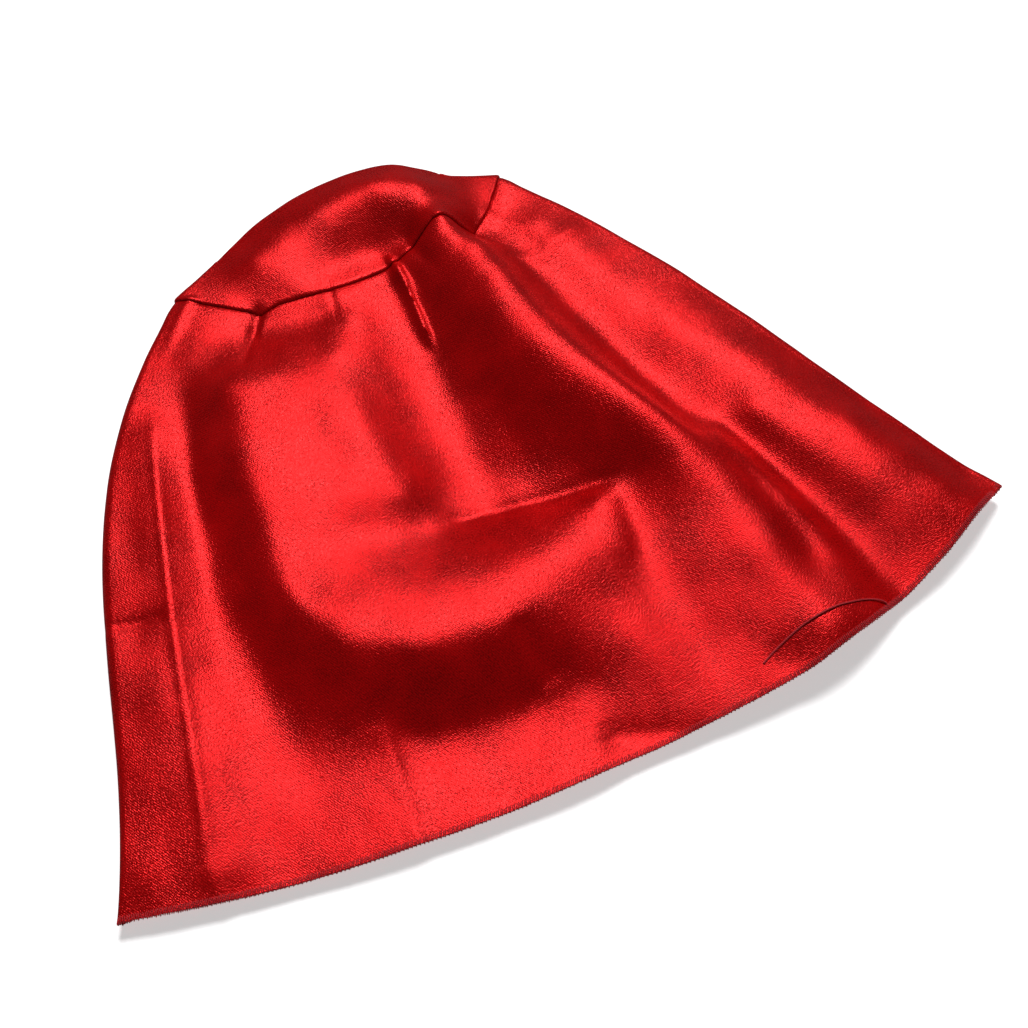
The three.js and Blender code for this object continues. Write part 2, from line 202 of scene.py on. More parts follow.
# Pressed creases and pinched folds on top of the drape: line, rise, width of each side
CREASES = [
    ("dart", [(0.17, -0.03), (0.15, 0.06), (0.125, 0.13), (0.105, 0.2)], 1.6, 1.3, 0.7),
    ("left ridge", [(-0.92, 0.18), (-0.86, 0.31), (-0.84, 0.45), (-0.84, 0.6), (-0.84, 0.76),
                    (-0.82, 1.04)], 0.6, 0.9, 1.2),
    ("left crease", [(-1.0, 0.575), (-0.93, 0.575), (-0.85, 0.57)], -0.7, 0.8, 1.8),
    ("cross crease", [(-0.16, 0.515), (-0.02, 0.525), (0.19, 0.56), (0.29, 0.58), (0.4, 0.605)],
     -1.0, 2.6, 1.6),
    ("hem crease", [(-0.44, 0.78), (-0.445, 0.9), (-0.43, 1.08)], 0.7, 4.5, 1.6),
    ("hem dip", [(-0.06, 0.95), (0.05, 0.98), (0.22, 1.04)], -0.8, 4.5, 3.5),
    ("rim notch", [(-0.1, 0.74), (-0.085, 0.8), (-0.07, 0.86)], -0.7, 2.0, 3.0),
    ("right wave", [(0.6, 0.04), (0.66, 0.13), (0.72, 0.165), (0.8, 0.16), (0.98, 0.18)], 0.6, 1.6, 3.0),
    ("seam dimple", [(-0.62, 0.02), (-0.615, 0.08), (-0.61, 0.14)], -0.5, 1.2, 1.2),
]

# Gathers caught in the yoke seam: station, rise and half width in stations
GATHERS = [(-0.93, 0.7, 0.03), (-0.62, -0.7, 0.03), (-0.21, -0.25, 0.02), (0.17, 0.9, 0.02),
           (0.3, -0.5, 0.03), (0.5, 0.6, 0.04), (0.66, -0.6, 0.03), (0.8, 0.4, 0.03)]
GATHER_LENGTH = 0.07

# The loose thread's route over the cape, from the hem, and how far it stands off the cloth
THREAD_ROUTE = [
    (60.0, -71.1, 0.0), (59.2, -70.4, 0.3), (57.6, -69.6, 0.1), (55.4, -69.0, 0), (52.8, -68.6, 0),
    (49.9, -68.3, 0.1), (47.0, -68.3, 0.2), (44.0, -68.4, 0.1), (41.3, -68.6, 0), (38.7, -69.1, 0),
    (36.2, -69.7, 0), (33.8, -70.4, 0), (31.4, -71.3, 0),
]


class CapeSizes(bpy.types.PropertyGroup):
    """Sizes of the cloth, thread and closure."""

    cloth: bpy.props.FloatProperty(
        name="Cloth", description="Thickness of the satin", default=0.28 * MM, unit="LENGTH")
    layer_gap: bpy.props.FloatProperty(
        name="Yoke layer", description="How far each yoke layer stands off the skirt between them",
        default=0.36 * MM, unit="LENGTH")
    strip_height: bpy.props.FloatProperty(
        name="Turned strip", description="Height of the cloth turned under at the side folds",
        default=2.5 * MM, unit="LENGTH")
    overlock_thread: bpy.props.FloatProperty(
        name="Overlock thread", description="Thickness of the overlock thread",
        default=0.24 * MM, unit="LENGTH")
    loose_thread: bpy.props.FloatProperty(
        name="Loose thread", description="Thickness of the loose end of thread",
        default=0.4 * MM, unit="LENGTH")
    sewing_thread: bpy.props.FloatProperty(
        name="Sewing thread", description="Thickness of the seam thread", default=0.24 * MM, unit="LENGTH")
    overlock_pitch: bpy.props.FloatProperty(
        name="Overlock pitch", description="Length of one overlock stitch", default=0.8 * MM, unit="LENGTH")
    stitch: bpy.props.FloatProperty(
        name="Stitch", description="Length of one seam stitch", default=2.4 * MM, unit="LENGTH")
    weave: bpy.props.FloatProperty(
        name="Weave", description="Repeat of the satin weave", default=0.45 * MM, unit="LENGTH")


class CapeColours(bpy.types.PropertyGroup):
    """Colours of the cloth, thread and closure."""

    satin: bpy.props.FloatVectorProperty(
        name="Satin", description="Shiny face of the satin", subtype="COLOR", size=3,
        default=(0.58, 0.002, 0.003))
    reverse: bpy.props.FloatVectorProperty(
        name="Reverse", description="Dull reverse of the satin", subtype="COLOR", size=3,
        default=(0.42, 0.008, 0.014))
    thread: bpy.props.FloatVectorProperty(
        name="Thread", description="Sewing and overlock thread", subtype="COLOR", size=3,
        default=(0.45, 0.006, 0.012))
    tape: bpy.props.FloatVectorProperty(
        name="Tape", description="Hook and loop tape", subtype="COLOR", size=3,
        default=(0.4, 0.01, 0.02))


# ---------------------------------------------------------------- plan and drape


def lerp(a, b, t):
    return a + (b - a) * t


def smooth(t):
    t = np.clip(t, 0, 1)
    return t * t * (3 - 2 * t)


def plan(s, v, back=True):
    """Where a station lies, seen from above."""
    s, v = np.broadcast_arrays(np.asarray(s, float), np.asarray(v, float))
    square = s * s
    seam_x, seam_y = SEAM_HALF * s, lerp(SEAM_BACK if back else SEAM_FRONT, SEAM_CORNER, square)
    neck_x, neck_y = NECK_HALF * s, lerp(NECK_BACK if back else NECK_FRONT, NECK_CORNER, square)
    hem_x, hem_y = HEM_HALF * s, lerp(HEM_CENTRE, HEM_CORNER, square)
    down = np.clip(v, 0, 1)
    bow = s * np.where(s < 0, LEFT_BOW, RIGHT_BOW) * BOW_PEAK * down * (1 - down) ** 2
    x = np.where(v < 0, lerp(seam_x, neck_x, -v), lerp(seam_x, hem_x, v) + bow)
    y = np.where(v < 0, lerp(seam_y, neck_y, -v), lerp(seam_y, hem_y, v))
    if back:
        away = v * np.where(v < 0, YOKE_LENGTH, SKIRT_LENGTH) / SEAM_SPREAD
        y = y - np.interp(s, *zip(*SEAM_REACH)) * np.exp(-away * away)
    return x, y


def through(line, spacing):
    """Points along a smooth curve through a line's own points, about evenly spaced in plan."""
    points = np.array(line, float)
    x, y = plan(points[:, 0], points[:, 1])
    station = np.concatenate([[0], np.cumsum(np.hypot(np.diff(x), np.diff(y)))])
    count = max(2, int(station[-1] / spacing) + 1)
    at = np.linspace(0, station[-1], count)
    return [np.interp(at, station, values) for values in (x, y, *points[:, 2:].T)]


class Drape:
    """Height of the back's cloth above the table, over its plan."""

    def __init__(self):
        lines = [through(line, DRAPE_SPACING) for line in DRAPE]
        self.x, self.y, height = (np.concatenate([line[i] for line in lines]) for i in range(3))
        count = len(height)
        system = np.zeros((count + 1, count + 1))
        system[:count, :count] = self._reach(self.x, self.y) - DRAPE_SLACK * np.eye(count)
        system[:count, count] = system[count, :count] = 1
        self.weights = np.linalg.solve(system, np.append(height, 0))
        self.creases = [(through(line, CREASE_SPACING), rise, before, after)
                        for _, line, rise, before, after in CREASES]

    def _reach(self, x, y):
        across = np.asarray(x)[..., None] - self.x
        along = np.asarray(y)[..., None] - self.y
        return np.sqrt(across**2 + along**2 + DRAPE_SOFTNESS**2)

    def _crease(self, x, y, line, rise, before, after):
        """A fold pressed along a line: before is its width on the left of the line, after on the right."""
        line_x, line_y = line
        share = np.linspace(0, 1, len(line_x))
        across = x[..., None] - line_x
        along = y[..., None] - line_y
        near = np.argmin(across**2 + along**2, axis=-1)
        tangent_x, tangent_y = np.gradient(line_x), np.gradient(line_y)
        size = np.hypot(tangent_x, tangent_y)
        gap_x = np.take_along_axis(across, near[..., None], -1)[..., 0]
        gap_y = np.take_along_axis(along, near[..., None], -1)[..., 0]
        beside = (gap_x * tangent_y[near] - gap_y * tangent_x[near]) / size[near]
        distance = np.hypot(gap_x, gap_y)
        width = np.where(beside > 0, before, after)
        ends = smooth(np.minimum(share[near], 1 - share[near]) * 5)
        return rise * ends * np.exp(-((distance / width) ** 1.4))

    def height(self, x, y):
        x, y = np.asarray(x, float), np.asarray(y, float)
        z = self._reach(x, y) @ self.weights[:-1] + self.weights[-1]
        for line, rise, before, after in self.creases:
            z = z + self._crease(x, y, line, rise, before, after)
        return z


def ripple(x, y, size, seed):
    """Smooth noise from -1 to 1 over the plan."""
    flat = [noise.noise(Vector((a / size, b / size, seed))) for a, b in zip(np.ravel(x), np.ravel(y))]
    return np.reshape(flat, np.shape(x))


def gathers(s, v):
    """Rise of the gathers near the yoke seam."""
    rise = 0
    for station, size, width in GATHERS:
        rise = rise + size * np.exp(-(((s - station) / width) ** 2))
    return rise * np.exp(-((v / GATHER_LENGTH) ** 2))


def hinge_x(y):
    return HINGE_POINT[0] + HINGE_AXIS[0] / HINGE_AXIS[1] * (y - HINGE_POINT[1])


def hinge_station(v, back):
    """Station where a row crosses the fold line of a front, found by halving."""
    low, high = 0.0, 1.0
    for _ in range(40):
        middle = (low + high) / 2
        x, y = plan(middle, v, back)
        if x < hinge_x(y):
            low = middle
        else:
            high = middle
    return high


# ---------------------------------------------------------------- sections of the cape

TOP_STEPS = 226
CURL_STEPS = 10
STRIP_STEPS = 8
CURL_SHARE = 0.85  # width of a side fold's curl as a share of its height
STRIP_CLEAR = 1.05  # height of the turned strip over the fold line, so that it stays above an opened front
STRIP_RISE = 5.0  # distance over which the turned strip rises from the fold line
HEM_START = 0.6  # station from which the hem's own line takes over from the plan
FRONT_STEPS = 90
FRONT_LIFT = 0.12  # height of a front's fold-line edge over the fold line


def reach_past(s, v):
    """How far a row reaches past its plan line: all of HEM_REACH at the hem, nothing above HEM_START."""
    return np.interp(s, *zip(*HEM_REACH)) * smooth((v - HEM_START) / (1 - HEM_START))


def front_short(s, v):
    """How far a row of a front stays back from the back's row: below zero it shows past it."""
    return np.interp(s, *zip(*FRONT_SHORT)) * smooth((v - HEM_START) / (1 - HEM_START))


def back_row(drape, v, strip_height):
    """One row of the back: left strip, left curl, top, right curl, right strip."""
    sides = []
    for side in (-1, 1):
        half = abs(float(plan(side, v)[0]))
        rough = float(drape.height(*plan(side * (1 - 2.5 / half), v)))
        curl = CURL_SHARE * (rough - strip_height) / 2
        edge = 1 - curl / half
        top = float(drape.height(*plan(side * edge, v)))
        angle = np.linspace(math.pi / 2, -math.pi / 2, CURL_STEPS + 2)[1:-1]
        curl_s = edge + curl * np.cos(angle) / half
        curl_z = (top + strip_height) / 2 + (top - strip_height) / 2 * np.sin(angle)
        inner = hinge_station(v, True)
        strip_s = np.linspace(edge, min(inner, edge - 0.8 / half), STRIP_STEPS)
        inside = (strip_s - strip_s[-1]) * half
        rise = smooth(inside / min(STRIP_RISE, max(inside[0], 0.5)))
        strip_z = lerp(HINGE_Z + STRIP_CLEAR, strip_height, rise)
        shares = np.concatenate([np.zeros(CURL_STEPS), smooth(1 - inside / inside[0])])
        side_s = np.concatenate([curl_s, strip_s])
        side_z = np.concatenate([curl_z, strip_z])
        sides.append((edge, side_s, side_z, shares))
    left, right = sides
    top_s = np.linspace(-left[0], right[0], TOP_STEPS)
    top_z = drape.height(*plan(top_s, v)) + gathers(top_s, v)
    s = np.concatenate([-left[1][::-1], top_s, right[1]])
    z = np.concatenate([left[2][::-1], top_z, right[2]])
    share = np.concatenate([left[3][::-1], np.zeros(TOP_STEPS), right[3]])
    x, y = plan(s, v)
    return np.stack([x, y - reach_past(s, v) - share * front_short(s, v), z], -1)


def fine_ripples(x, y):
    """Height of the cloth's small ripples, a broad one and a finer one."""
    return 0.5 * ripple(x, y * 0.8, 14, 3.1) + 0.2 * ripple(x, y * 0.7, 6.5, 7.7)


def back_surface(rows, strip_height):
    """Rows of the back, with fine ripples in the cloth."""
    drape = Drape()
    points = np.array([back_row(drape, v, strip_height) for v in rows])
    raised = smooth((points[..., 2] - strip_height) / 1.5)
    points[..., 2] += fine_ripples(points[..., 0], points[..., 1]) * raised
    return points


def front_height(side, v):
    """The left front's yoke lies on its closure patch, so it is higher than the right one."""
    yoke = 1.15 if side < 0 else HINGE_Z
    return lerp(yoke, 0.85, smooth(v / 0.22))


def front_row(side, v, edge):
    """One row of a front, from its fold line to its centre edge."""
    inner = hinge_station(v, False)
    centre = edge / abs(float(plan(1, v, False)[0]))
    s = side * np.linspace(inner, centre, FRONT_STEPS)
    x, y = plan(s, v, False)
    inside = np.hypot(x - x[0], y - y[0])
    wave = 0.3 * ripple(x, y * 0.55, 17, 11 + side) + 0.12 * ripple(x, y, 6, 23 + side)
    body = front_height(side, v) + wave * smooth((v + 0.1) / 0.3)
    z = lerp(HINGE_Z + FRONT_LIFT, np.clip(body, 0.5, 1.4), smooth((inside - 1.5) / 8))
    return np.stack([x, y - reach_past(s, v) - front_short(s, v), z], -1)


def normals(points):
    """Outward direction at each point of a grid of rows from hem to neck."""
    up = np.gradient(points, axis=0)
    across = np.gradient(points, axis=1)
    normal = np.cross(across, up)
    return normal / np.linalg.norm(normal, axis=-1, keepdims=True)


def flat_pattern(points):
    """Flat-pattern position of each grid point: across along the cloth, along as the cape's length."""
    step = np.linalg.norm(np.diff(points[..., [0, 2]], axis=1), axis=-1)
    across = np.concatenate([np.zeros((len(points), 1)), np.cumsum(step, axis=1)], axis=1)
    columns = slice(points.shape[1] // 4, points.shape[1] * 3 // 4)
    middle = [np.interp(0, row[columns, 0], line[columns]) for row, line in zip(points, across)]
    across = across - np.array(middle)[:, None]
    return np.stack([across, points[..., 1]], -1)


# ---------------------------------------------------------------- mesh work


def pick_none():
    if bpy.context.object and bpy.context.object.mode != "OBJECT":
        bpy.ops.object.mode_set(mode="OBJECT")
    bpy.ops.object.select_all(action="DESELECT")


def pick(*pieces):
    pick_none()
    for piece in pieces:
        piece.select_set(True)
    bpy.context.view_layer.objects.active = pieces[0]


def apply_modifier(piece, kind, **settings):
    pick(piece)
    modifier = piece.modifiers.new(kind.title(), kind)
    for name, value in settings.items():
        setattr(modifier, name, value)
    bpy.ops.object.modifier_apply(modifier=modifier.name)


def cloth(name, points, thickness, finishes, face_down=False):
    """A sheet through a grid of points, with a thickness and a dull reverse."""
    pick_none()
    rows, columns = points.shape[:2]
    bpy.ops.mesh.primitive_grid_add(x_subdivisions=columns - 1, y_subdivisions=rows - 1, size=2)
    piece = bpy.context.object
    piece.name = name
    mesh = piece.data
    count = len(mesh.vertices)
    place = np.empty(count * 3)
    mesh.vertices.foreach_get("co", place)
    place = place.reshape(-1, 3)
    column = np.rint((place[:, 0] + 1) / 2 * (columns - 1)).astype(int)
    row = np.rint((place[:, 1] + 1) / 2 * (rows - 1)).astype(int)
    if face_down:
        column = columns - 1 - column
    mesh.vertices.foreach_set("co", (points[row, column] * MM).ravel())
    corner = np.empty(len(mesh.loops), int)
    mesh.loops.foreach_get("vertex_index", corner)
    pattern = (flat_pattern(points) * MM)[row, column]
    mesh.uv_layers.active.data.foreach_set("uv", pattern[corner].ravel())
    mesh.update()
    for finish in finishes:
        mesh.materials.append(finish)
    apply_modifier(piece, "SOLIDIFY", thickness=thickness, offset=0, material_offset=1,
                   material_offset_rim=1)
    pick(piece)
    bpy.ops.object.shade_smooth_by_angle(angle=math.radians(60))
    return piece


def thread_line(name, path, diameter, finish):
    """A length of thread along a path, in millimetres."""
    pick_none()
    bpy.ops.curve.primitive_nurbs_path_add()
    piece = bpy.context.object
    piece.name = name
    shape = piece.data
    shape.splines.clear()
    spline = shape.splines.new("POLY")
    spline.points.add(len(path) - 1)
    places = np.ones((len(path), 4))
    places[:, :3] = np.asarray(path) * MM
    spline.points.foreach_set("co", places.ravel())
    shape.bevel_depth = diameter / 2
    shape.bevel_resolution = 1
    shape.use_fill_caps = True
    shape.materials.append(finish)
    return piece


def to_mesh(piece):
    pick(piece)
    bpy.ops.object.convert(target="MESH")
    bpy.ops.object.shade_smooth()
    return bpy.context.object


def joined(name, pieces):
    pick(*pieces)
    bpy.ops.object.join()
    piece = bpy.context.object
    piece.name = name
    return piece


def along(points, spacing):
    """Even steps along a line of points: the points and their distances."""
    station = np.concatenate([[0], np.cumsum(np.linalg.norm(np.diff(points, axis=0), axis=1))])
    at = np.arange(0, station[-1], spacing)
    return np.stack([np.interp(at, station, points[:, i]) for i in range(3)], -1), at


def between(index, line):
    """Vectors of a line at indexes that may lie between its points."""
    return np.stack([np.interp(index, np.arange(len(line)), line[:, i]) for i in range(3)], -1)


def overlock(name, inner, outer, normal, thread, pitch, finish):
    """Thread wound round a cloth edge: two strands that cross the edge band at each stitch."""
    turns_per_step = 8
    strands = []
    for strand, (reach, phase) in enumerate(((1.0, 0.0), (0.82, math.pi * 0.9))):
        a, at = along(inner, pitch / turns_per_step)
        share = np.linspace(0, 1, len(a))
        index = share * (len(inner) - 1)
        across = between(index, outer - inner)
        up = between(index, normal)
        middle = a + across / 2
        turn = 2 * math.pi * at / pitch + phase
        uneven = np.array([noise.noise(Vector((t * 0.9, strand * 9.1, 4.2))) for t in at])
        half = reach * (1 + 0.22 * uneven)
        lift = (0.7 * CLOTH_HALF + thread / MM * 0.4) * (1 + 0.3 * uneven)
        path = middle + across * (0.5 * half * np.cos(turn))[:, None] + up * (lift * np.sin(turn))[:, None]
        strands.append(to_mesh(thread_line(f"{name}_{strand}", path, thread, finish)))
    return joined(name, strands)


def stitch_run(name, line, normal, length, thread, finish):
    """A run of stitches: the thread dips through the cloth at the end of each stitch."""
    path, at = along(line, length / 8)
    index = np.linspace(0, len(line) - 1, len(path))
    up = between(index, normal)
    rise = CLOTH_HALF * 1.1 * (1 - 2 * np.abs(np.cos(math.pi * at / length)) ** 6)
    return to_mesh(thread_line(name, path + up * rise[:, None], thread, finish))


def declare(piece, node, body):
    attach(piece, body)
    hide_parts(node)


def declare_cloth(piece, node, body):
    """A sheet, attached to its body, with its frame node hidden."""
    declare(piece, node, body)


# ---------------------------------------------------------------- materials


class Flow:
    """One output of a material's nodes, on which plain arithmetic adds Math nodes."""

    def __init__(self, finish, socket):
        self.finish = finish
        self.socket = socket

    def _math(self, operation, *values):
        return self.finish.node("Math", {"operation": operation}, dict(enumerate(values)))

    def __add__(self, other):
        return self._math("ADD", self, other)

    def __radd__(self, other):
        return self._math("ADD", other, self)

    def __sub__(self, other):
        return self._math("SUBTRACT", self, other)

    def __rsub__(self, other):
        return self._math("SUBTRACT", other, self)

    def __mul__(self, other):
        return self._math("MULTIPLY", self, other)

    def __rmul__(self, other):
        return self._math("MULTIPLY", other, self)

    def sine(self):
        return self._math("SINE", self)


class Finish:
    """A material and the nodes that make it."""

    def __init__(self, name):
        self.material = bpy.data.materials.new(name)
        self.material.use_nodes = True
        self.tree = self.material.node_tree
        self.tree.nodes.clear()
        self.shader = self.tree.nodes.new("ShaderNodeBsdfPrincipled")
        output = self.tree.nodes.new("ShaderNodeOutputMaterial")
        self.tree.links.new(self.shader.outputs["BSDF"], output.inputs["Surface"])

    def put(self, socket, value):
        if isinstance(value, Flow):
            self.tree.links.new(value.socket, socket)
        else:
            socket.default_value = value

    def node(self, kind, settings=None, values=None, output=0):
        """Adds a node: its settings are set first, then the values or links of its sockets."""
        node = self.tree.nodes.new("ShaderNode" + kind)
        for name, value in (settings or {}).items():
            setattr(node, name, value)
        for name, value in (values or {}).items():
            self.put(node.inputs[name], value)
        return Flow(self, node.outputs[output])

    def ramp(self, factor, *stops):
        """A colour ramp from (position, colour) stops."""
        flow = self.node("ValToRGB", values={"Fac": factor})
        colours = flow.socket.node.color_ramp.elements
        for index, (position, colour) in enumerate(stops):
            stop = colours[index] if index < 2 else colours.new(position)
            stop.position = position
            stop.color = (*colour, 1)
        return flow

    def shade(self, **values):
        for name, value in values.items():
            self.put(self.shader.inputs[name.replace("_", " ")], value)
        return self.material


def shaded(colour, amount):
    return tuple(min(1, part * amount) for part in colour)


def satin(name, colour, weave, metallic, roughness, grain):
    """Satin: fine slanting weave, mottled tone and long floats that catch the light; its colour is also
    painted lighter on the raised specks of its bump as painted glints, and darker between them as painted
    shade.
    """
    finish = Finish(name)
    pattern = finish.node("UVMap")
    split = finish.node("SeparateXYZ", values={"Vector": pattern})
    across = split
    down = Flow(finish, split.socket.node.outputs[1])
    turn = 2 * math.pi / weave
    slant = ((across * turn + down * (0.62 * turn)).sine() + 1) * 0.5
    floats = ((across * (0.5 * turn) - down * (1.31 * turn)).sine() + 1) * 0.5
    speck = finish.node("TexNoise", {"noise_dimensions": "2D"},
                        {"Vector": pattern, "Scale": 1.15 / weave, "Detail": 2.0, "Roughness": 0.65})
    cloud = finish.node("TexNoise", {"noise_dimensions": "2D"},
                        {"Vector": pattern, "Scale": 0.05 / weave, "Detail": 3.0, "Roughness": 0.5})
    relief = slant * 0.25 + floats * 0.15 + speck * 1.6
    bump = finish.node("Bump", values={"Height": relief, "Strength": grain, "Distance": 0.08 * MM})
    # Colour: a random mottle from the broad cloud, plus painted glints: lighter where the speck and weave
    # raise the bump, darker between them as painted shade
    tone = speck * 0.55 + cloud * 0.3 + slant * 0.15
    colours = finish.ramp(tone, (0.34, shaded(colour, 0.62)), (0.5, colour), (0.66, shaded(colour, 1.35)))
    gloss = roughness - 0.14 + cloud * 0.1 + speck * 0.18
    finish.shade(Base_Color=colours, Metallic=metallic, Roughness=gloss, Anisotropic=0.3, Normal=bump,
                 Specular_IOR_Level=0.25)
    return finish.material


def spun(name, colour, scale, roughness):
    """Spun thread or tape: uneven fibres, painted lighter where they stand out as a painted highlight, and
    darker between them as painted shade.
    """
    finish = Finish(name)
    place = finish.node("TexCoord", output=3)
    fibre = finish.node("TexNoise",
                        values={"Vector": place, "Scale": scale, "Detail": 4.0, "Roughness": 0.65})
    twist = finish.node("TexWave", {"wave_type": "BANDS", "bands_direction": "DIAGONAL"},
                        {"Vector": place, "Scale": scale * 0.35, "Distortion": 3.0, "Detail": 2.0})
    relief = fibre * 0.7 + twist * 0.5
    # Colour follows the bump's height: painted highlight on the raised fibres, painted shade in the dips
    # between them
    colours = finish.ramp(fibre * 0.6 + twist * 0.4, (0.25, shaded(colour, 0.6)), (0.55, colour),
                          (0.8, shaded(colour, 1.5)))
    bump = finish.node("Bump", values={"Height": relief, "Strength": 0.6, "Distance": 0.08 * MM})
    finish.shade(Base_Color=colours, Roughness=roughness - 0.1 + fibre * 0.2, Normal=bump, Sheen_Weight=0.3,
                 Sheen_Roughness=0.5, Sheen_Tint=(*shaded(colour, 1.4), 1))
    return finish.material


def finishes():
    """Materials, made once."""
    if "satin face" not in bpy.data.materials:
        colours = bpy.context.scene.cape_colours
        weave = bpy.context.scene.cape_sizes.weave
        satin("satin face", tuple(colours.satin), weave, 0.52, 0.3, 0.75)
        satin("satin reverse", tuple(colours.reverse), weave, 0.1, 0.62, 0.4)
        spun("sewing thread", tuple(colours.thread), 2600, 0.7)
        spun("closure tape", tuple(colours.tape), 1500, 0.85)
    return {name: bpy.data.materials[name]
            for name in ("satin face", "satin reverse", "sewing thread", "closure tape")}


# ---------------------------------------------------------------- operators

CAMERA_TARGET = Vector((4.5, -17.0, 0.0)) * MM
CAMERA_DISTANCE = 0.3
CAMERA_TURN = math.radians(-26.5)
CAMERA_RISE = math.radians(62)


def from_angles(turn, rise):
    """Direction towards a point seen at a turn round the object and a rise above the table."""
    return Vector((math.sin(turn) * math.cos(rise), -math.cos(turn) * math.cos(rise), math.sin(rise)))


def add_area_light(name, turn, rise, distance, size, power):
    direction = from_angles(math.radians(turn), math.radians(rise))
    bpy.ops.object.light_add(type="AREA", location=direction * distance)
    light = bpy.context.object
    light.name = name
    light.rotation_euler = direction.to_track_quat("Z", "Y").to_euler()
    light.data.size = size
    light.data.energy = power
    return light


class CAPE_OT_stage(bpy.types.Operator):
    """Adds the camera, the lights and a pale floor"""

    bl_idname = "cape.stage"
    bl_label = "Stage"

    def execute(self, context):
        pick_none()
        direction = from_angles(CAMERA_TURN, CAMERA_RISE)
        bpy.ops.object.camera_add(location=CAMERA_TARGET + direction * CAMERA_DISTANCE)
        camera = bpy.context.object
        camera.name = "camera"
        camera.rotation_euler = direction.to_track_quat("Z", "Y").to_euler()
        camera.data.lens = 50
        camera.data.sensor_width = 36
        camera.data.clip_start = 0.01
        context.scene.camera = camera
        bpy.ops.mesh.primitive_plane_add(size=6)
        floor = bpy.context.object
        floor.name = "floor"
        paper = Finish("floor")
        tone = paper.node("TexNoise", values={"Scale": 3.0, "Detail": 2.0})
        pale = paper.ramp(tone, (0.3, (0.93, 0.93, 0.935)), (0.7, (0.96, 0.96, 0.96)))
        floor.data.materials.append(paper.shade(Base_Color=pale, Roughness=0.9, Emission_Color=(1, 1, 1, 1),
                                                Emission_Strength=0.5))
        floor.visible_glossy = False
        add_area_light("key light", 151, 60, 2.4, 0.6, 47.0)
        add_area_light("back light", 138, 25, 2.4, 1.2, 1.5)
        world = bpy.data.worlds.new("studio")
        world.use_nodes = True
        sky = world.node_tree.nodes["Background"]
        sky.inputs["Color"].default_value = (1, 1, 1, 1)
        sky.inputs["Strength"].default_value = 0.06
        context.scene.world = world
        context.scene.view_settings.view_transform = "Standard"
        return {"FINISHED"}


class CAPE_OT_loose_thread(bpy.types.Operator):
    """Adds the loose end of overlock thread that lies on the cape at its hem"""

    bl_idname = "cape.loose_thread"
    bl_label = "Loose thread"

    def execute(self, context):
        sizes = context.scene.cape_sizes
        diameter = sizes.loose_thread
        points = np.array(THREAD_ROUTE)
        x, y = points[:, 0], points[:, 1]
        under = Drape().height(x, y + reach_past(x / HEM_HALF, 1)) + fine_ripples(x, y)
        points[:, 2] += under + (sizes.cloth + diameter) / 2 / MM
        before = np.vstack([2 * points[0] - points[1], points[:-1]])
        after = np.vstack([points[1:], 2 * points[-1] - points[-2]])
        path = []
        for start, end, back, ahead in zip(points[:-1], points[1:], before[:-1], after[1:]):
            square = 2 * back - 5 * start + 4 * end - ahead
            cube = 3 * start - back - 3 * end + ahead
            for t in np.arange(0, 1, 0.125):
                path.append(0.5 * (2 * start + (end - back) * t + square * t * t + cube * t**3))
        path.append(points[-1])
        thread = thread_line("loose_thread_end", path, diameter, finishes()["sewing thread"])
        thread.data.bevel_resolution = 3
        declare(thread, "loose_thread", "back")
        return {"FINISHED"}


SKIRT_ROWS = 152
CLOTH_EDGE = 1 + 1.0 / SKIRT_LENGTH  # the hem's raw edge, inside its overlocking
SEAM_TUCK = 0.3  # how far the skirt's top dips into the seam


def skirt_rows():
    """Rows of the skirt from its hem to the top of its seam allowance, closer together at the seam."""
    hem_to_seam = np.linspace(CLOTH_EDGE, 0.03, SKIRT_ROWS - 14)
    return np.concatenate([hem_to_seam, np.linspace(0.024, -0.03, 10), np.linspace(-0.07, -ALLOWANCE, 4)])


class CAPE_OT_back_skirt(bpy.types.Operator):
    """Adds the draped back of the skirt, with its side folds and turned-under strips"""

    bl_idname = "cape.back_skirt"
    bl_label = "Back skirt"

    def execute(self, context):
        sizes = context.scene.cape_sizes
        rows = skirt_rows()
        points = back_surface(rows, sizes.strip_height / MM)
        puff = 0.16 * np.exp(-(((rows - 0.02) / 0.012) ** 2)) - SEAM_TUCK * smooth((0.004 - rows) / 0.01)
        points = points + normals(points) * puff[:, None, None]
        looks = finishes()
        pair = (looks["satin face"], looks["satin reverse"])
        skirt = cloth("back_skirt", points, sizes.cloth, pair)
        declare_cloth(skirt, "skirt_back", "back")
        return {"FINISHED"}


def edge_roll(rows, start, end, length):
    """Share of a yoke layer's stand-off, which falls away near each end as a rolled edge does."""
    near_neck = np.clip((rows - start) * YOKE_LENGTH / length, 0, 1)
    near_seam = np.clip((end - rows) * YOKE_LENGTH / length, 0, 1)
    return np.sqrt(1 - (1 - near_neck) ** 2) * np.sqrt(1 - (1 - near_seam) ** 2)


def yoke_rows():
    """Rows of the yoke from seam to neck, closer together at both edges."""
    fine = np.linspace(0, 1.2, 7) / YOKE_LENGTH
    return np.concatenate([-fine, np.linspace(-fine[-1], -1 + fine[-1], 40)[1:-1], (-1 + fine)[::-1]])


